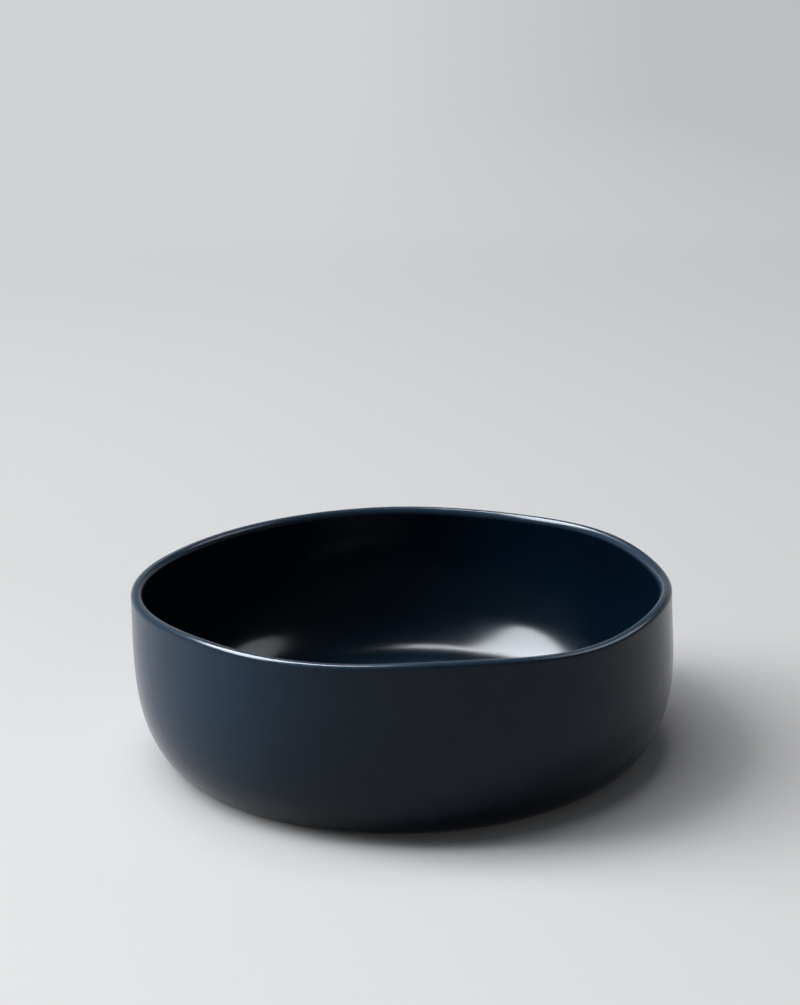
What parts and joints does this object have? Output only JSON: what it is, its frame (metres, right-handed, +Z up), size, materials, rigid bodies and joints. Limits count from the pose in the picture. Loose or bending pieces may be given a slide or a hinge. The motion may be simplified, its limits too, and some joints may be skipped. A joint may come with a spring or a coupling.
{
  "type": "serving bowl",
  "caption": "Wide round serving bowl in navy-glazed stoneware with a gently waved lip, rounded shoulders and a bare clay foot ring.",
  "frame": {"origin": "centre of the circle that the foot ring stands on, at table height", "axes": "+Z up out of the bowl; the pictured side faces -Y and +X is to its right"},
  "size_m": [0.2499, 0.2503, 0.082],
  "materials": {
    "stoneware": "fired stoneware body, hidden under the glaze",
    "bare_clay": "bare fired clay, matt and slightly gritty",
    "navy_glaze": "satin navy glaze, thinner and lighter along the lip"
  },
  "bodies": {
    "root": {"bowl_wall": "stoneware", "foot_ring": "bare_clay", "glaze_coat": "navy_glaze", "recess_glaze": "navy_glaze"}
  },
  "joints": []
}
